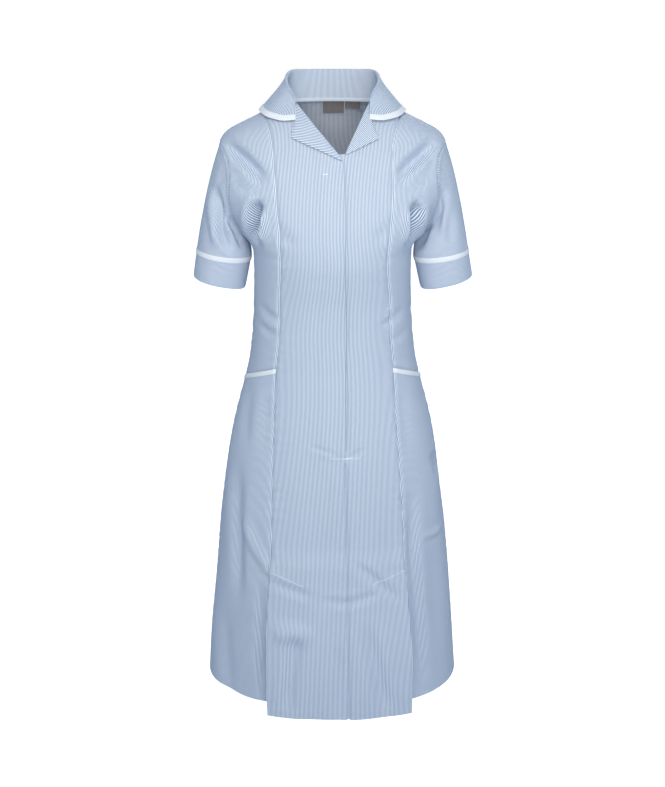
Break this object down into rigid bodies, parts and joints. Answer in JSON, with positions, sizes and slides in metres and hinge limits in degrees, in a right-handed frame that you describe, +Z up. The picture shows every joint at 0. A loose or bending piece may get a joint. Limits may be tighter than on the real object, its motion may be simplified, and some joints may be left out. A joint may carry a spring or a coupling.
{
  "type": "nurse uniform dress",
  "caption": "Short-sleeved striped uniform dress as a hollow worn shell: revere collar, princess seams, slant pockets, cuffs and kick pleats in front.",
  "frame": {"origin": "middle of the neck opening, level with the shoulder seams, where the wearer's shoulders hold the dress", "axes": "+X to the wearer's left, +Y to the wearer's back, +Z up"},
  "size_m": [0.47, 0.3078, 1.1058],
  "materials": {
    "striped_cloth": "plain-woven cotton and polyester, fine blue and white stripe",
    "white_trim": "plain white binding",
    "label_tape": "woven tape, bare"
  },
  "bodies": {
    "root": {"front_right": "striped_cloth", "front_left": "striped_cloth", "pleat_left": "striped_cloth", "pleat_right": "striped_cloth", "side_front_left": "striped_cloth", "side_front_right": "striped_cloth", "pocket_front_left": "striped_cloth", "pocket_front_right": "striped_cloth", "pocket_trim_left": "white_trim", "pocket_trim_right": "white_trim", "side_back_left": "striped_cloth", "side_back_right": "striped_cloth", "back": "striped_cloth", "sleeve_left": "striped_cloth", "sleeve_right": "striped_cloth", "cuff_trim_left": "white_trim", "cuff_trim_right": "white_trim", "cuff_left": "striped_cloth", "cuff_right": "striped_cloth", "collar": "striped_cloth", "collar_trim": "white_trim", "lapel_right": "striped_cloth", "lapel_left": "striped_cloth", "neck_label": "label_tape", "size_label": "label_tape"}
  },
  "joints": []
}
